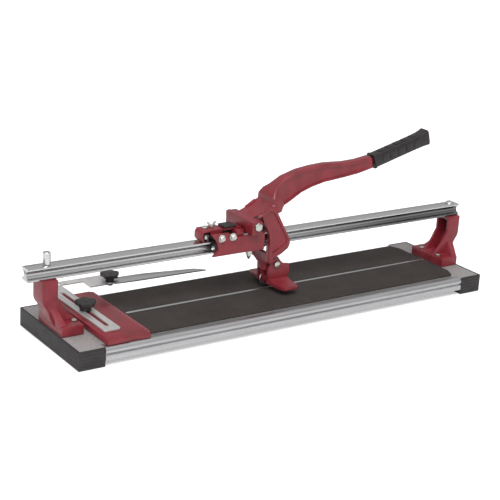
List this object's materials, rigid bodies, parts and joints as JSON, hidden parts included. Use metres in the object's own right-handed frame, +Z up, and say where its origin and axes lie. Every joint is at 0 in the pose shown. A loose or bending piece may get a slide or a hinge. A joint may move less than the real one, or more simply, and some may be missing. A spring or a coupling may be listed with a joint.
{
  "type": "manual tile cutter",
  "caption": "Manual tile cutter: flat base with mats, fence and sliding angle gauge, raised rail, roller carriage and a long lever with scoring wheel and snapping foot.",
  "frame": {"origin": "middle of the underside of the whole object's box, at rest", "axes": "+X along the rail away from the fence, +Y to the rear where the angle gauge hangs over, +Z up"},
  "size_m": [0.8346, 0.2406, 0.2745],
  "materials": {
    "red_paint": "satin red paint over cast metal",
    "black_plastic": "matt moulded black",
    "mat_rubber": "fine-grained dark rubber",
    "aluminium": "drawn and satin",
    "chrome": "polished plating",
    "grey_deck": "speckled light grey",
    "zinc_steel": "zinc plated"
  },
  "bodies": {
    "base": {"deck_plate": "grey_deck", "side_profile_front": "aluminium", "side_profile_rear": "aluminium", "end_cap_left": "black_plastic", "end_cap_right": "black_plastic", "snapping_ridge": "aluminium", "mat_front": "mat_rubber", "mat_rear": "mat_rubber", "post_left": "red_paint", "post_right": "red_paint", "post_bolt_left_front": "zinc_steel", "post_bolt_left_rear": "zinc_steel", "post_bolt_right_front": "zinc_steel", "post_bolt_right_rear": "zinc_steel", "rail": "chrome", "rail_screw": "zinc_steel", "stop_pin": "chrome", "fence": "red_paint", "fence_screw_front": "zinc_steel", "fence_screw_rear": "zinc_steel", "clamp_stud": "zinc_steel"},
    "carriage": {"carriage_plate_front": "red_paint", "carriage_plate_rear": "red_paint", "carriage_bridge": "red_paint", "nose_bracket": "red_paint", "rubber_bumper": "mat_rubber", "roller_axle_1": "zinc_steel", "roller_axle_2": "zinc_steel", "roller_axle_3": "zinc_steel", "roller_nut_2": "zinc_steel", "roller_nut_3": "zinc_steel", "nose_bolt": "zinc_steel", "guide_shoe_front": "black_plastic", "guide_shoe_rear": "black_plastic", "shoe_screw_front": "zinc_steel", "shoe_screw_rear": "zinc_steel", "adjusting_screw": "zinc_steel", "pivot_bolt": "zinc_steel", "pivot_nut": "zinc_steel"},
    "roller_a": {"roller_1": "black_plastic"},
    "roller_b": {"roller_2": "black_plastic"},
    "roller_c": {"roller_3": "black_plastic"},
    "wing": {"wing_screw": "zinc_steel"},
    "lever": {"lever_casting": "red_paint", "lever_screw": "black_plastic", "grip": "black_plastic", "wheel_axle": "zinc_steel", "foot_bolt": "zinc_steel", "foot_nut": "zinc_steel"},
    "wheel": {"scoring_wheel": "chrome"},
    "foot": {"snapping_foot": "red_paint"},
    "gauge": {"slotted_bar": "aluminium", "gauge_bracket": "aluminium", "gauge_rivet_left": "zinc_steel", "gauge_rivet_right": "zinc_steel", "blade_stud": "zinc_steel"},
    "blade": {"gauge_blade": "aluminium"},
    "knob_clamp": {"clamp_knob": "black_plastic"},
    "knob_blade": {"blade_knob": "black_plastic"}
  },
  "joints": [
    {"name": "carriage_slide", "type": "slide", "parent": "base", "child": "carriage", "axis": [1, 0, 0], "range_m": [-0.24, 0.31]},
    {"name": "lever_hinge", "type": "hinge", "parent": "carriage", "child": "lever", "pos_m": [-0.0384, -0.01975, 0.1566], "axis": [0, -1, 0], "range_deg": [-3, 12]},
    {"name": "foot_hinge", "type": "hinge", "parent": "lever", "child": "foot", "pos_m": [0.0186, -0.01975, 0.079], "axis": [0, -1, 0], "range_deg": [-4, 8]},
    {"name": "wheel_spin", "type": "hinge", "parent": "lever", "child": "wheel", "pos_m": [0.009, -0.01975, 0.052], "axis": [0, 1, 0], "continuous": true},
    {"name": "gauge_slide", "type": "slide", "parent": "base", "child": "gauge", "axis": [0, -1, 0], "range_m": [-0.06, 0.075]},
    {"name": "blade_swing", "type": "hinge", "parent": "gauge", "child": "blade", "pos_m": [-0.222, 0.08425, 0.047], "axis": [0, 0, -1], "range_deg": [-40, 40]},
    {"name": "clamp_knob_turn", "type": "hinge", "parent": "base", "child": "knob_clamp", "pos_m": [-0.309, -0.00175, 0.05], "axis": [0, 0, 1], "continuous": true},
    {"name": "blade_knob_turn", "type": "hinge", "parent": "gauge", "child": "knob_blade", "pos_m": [-0.222, 0.08425, 0.054], "axis": [0, 0, 1], "continuous": true},
    {"name": "wing_screw_turn", "type": "hinge", "parent": "carriage", "child": "wing", "pos_m": [-0.1, -0.01975, 0.1525], "axis": [0, 0, 1], "continuous": true},
    {"name": "roller_spin_1", "type": "hinge", "parent": "carriage", "child": "roller_a", "pos_m": [-0.1128, -0.01975, 0.1405], "axis": [0, 1, 0], "continuous": true},
    {"name": "roller_spin_2", "type": "hinge", "parent": "carriage", "child": "roller_b", "pos_m": [-0.0955, -0.01975, 0.1405], "axis": [0, 1, 0], "continuous": true},
    {"name": "roller_spin_3", "type": "hinge", "parent": "carriage", "child": "roller_c", "pos_m": [-0.0745, -0.01975, 0.1405], "axis": [0, 1, 0], "continuous": true}
  ],
  "couplings": [
    {"joint": "roller_spin_1", "follows": "carriage_slide", "rad_per_m": 125},
    {"joint": "roller_spin_2", "follows": "carriage_slide", "rad_per_m": 125},
    {"joint": "roller_spin_3", "follows": "carriage_slide", "rad_per_m": 125}
  ]
}
